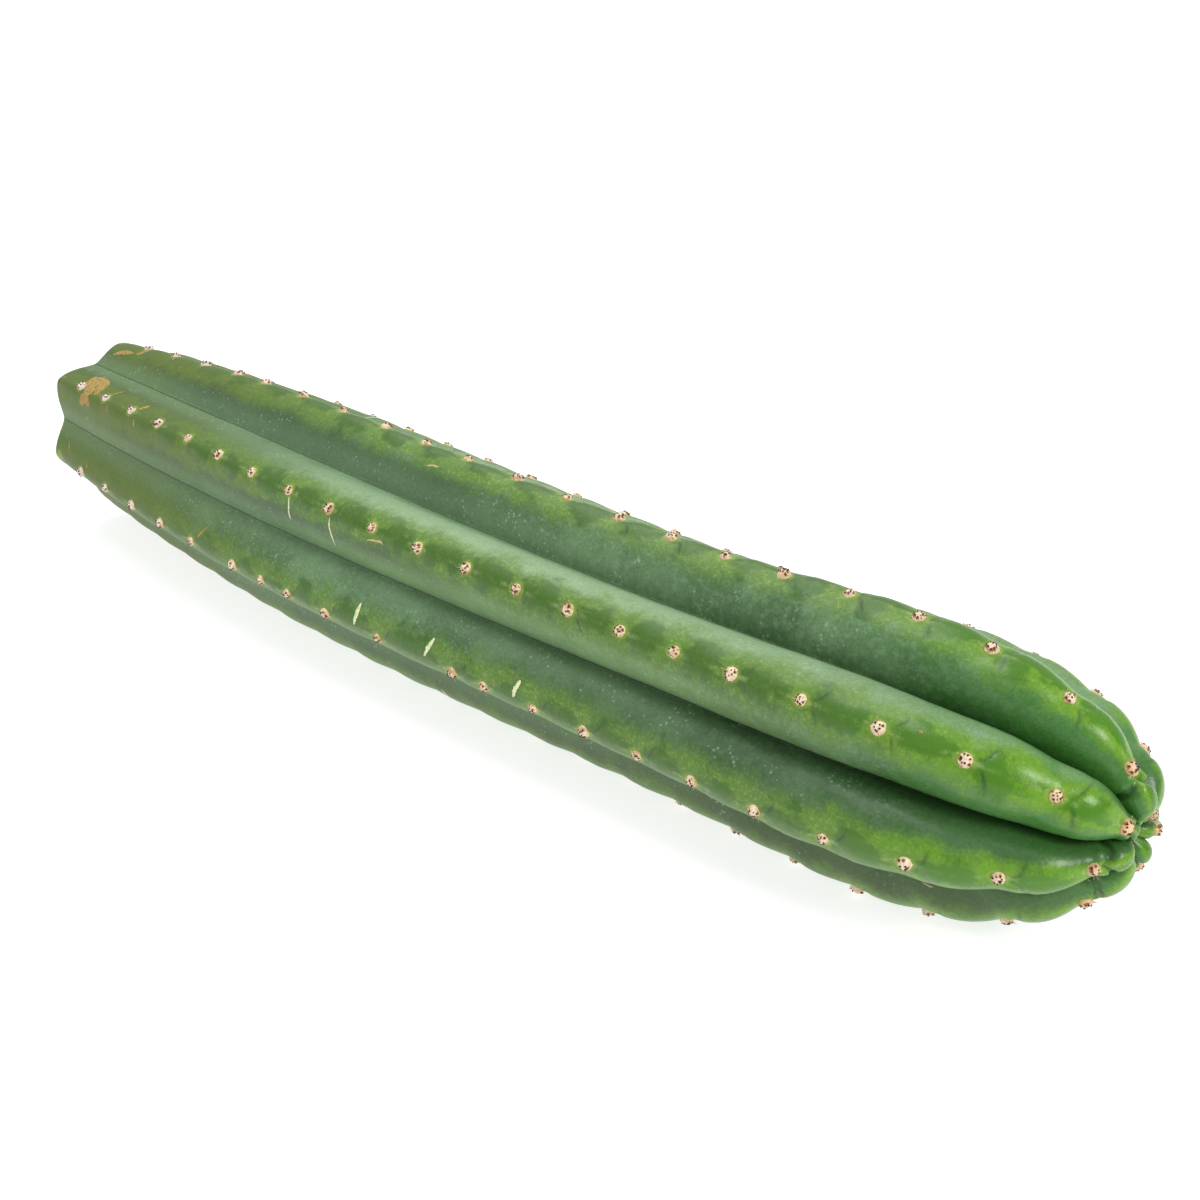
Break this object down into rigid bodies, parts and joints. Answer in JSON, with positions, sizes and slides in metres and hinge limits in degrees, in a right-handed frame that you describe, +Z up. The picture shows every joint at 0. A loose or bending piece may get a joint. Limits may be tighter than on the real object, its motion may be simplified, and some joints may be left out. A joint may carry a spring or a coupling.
{
  "type": "cut length of a tall columnar cactus",
  "caption": "Cut length of a tall ribbed columnar cactus with felted areoles, a domed growing tip and a flat cut base, lying on two of its ribs.",
  "frame": {"origin": "on the surface that the stem lies on, under the middle of its bounding box", "axes": "+X runs along the stem from the cut base to the growing tip, +Z is up, and +Y is across the stem, away from the side it bows to"},
  "size_m": [0.4582, 0.0858, 0.0811],
  "materials": {
    "waxy_skin": "smooth green skin with a thin blue-grey wax bloom, rubbed glossy and yellower along the rib crests",
    "areole_felt": "short cream to tan felt",
    "spine": "dry red-brown spine stubs, paler with age",
    "cork_scar": "dry tan corky scar tissue",
    "cut_flesh": "matt pale green flesh, dried on the cut"
  },
  "bodies": {
    "root": {"stem": "waxy_skin"}
  },
  "joints": []
}
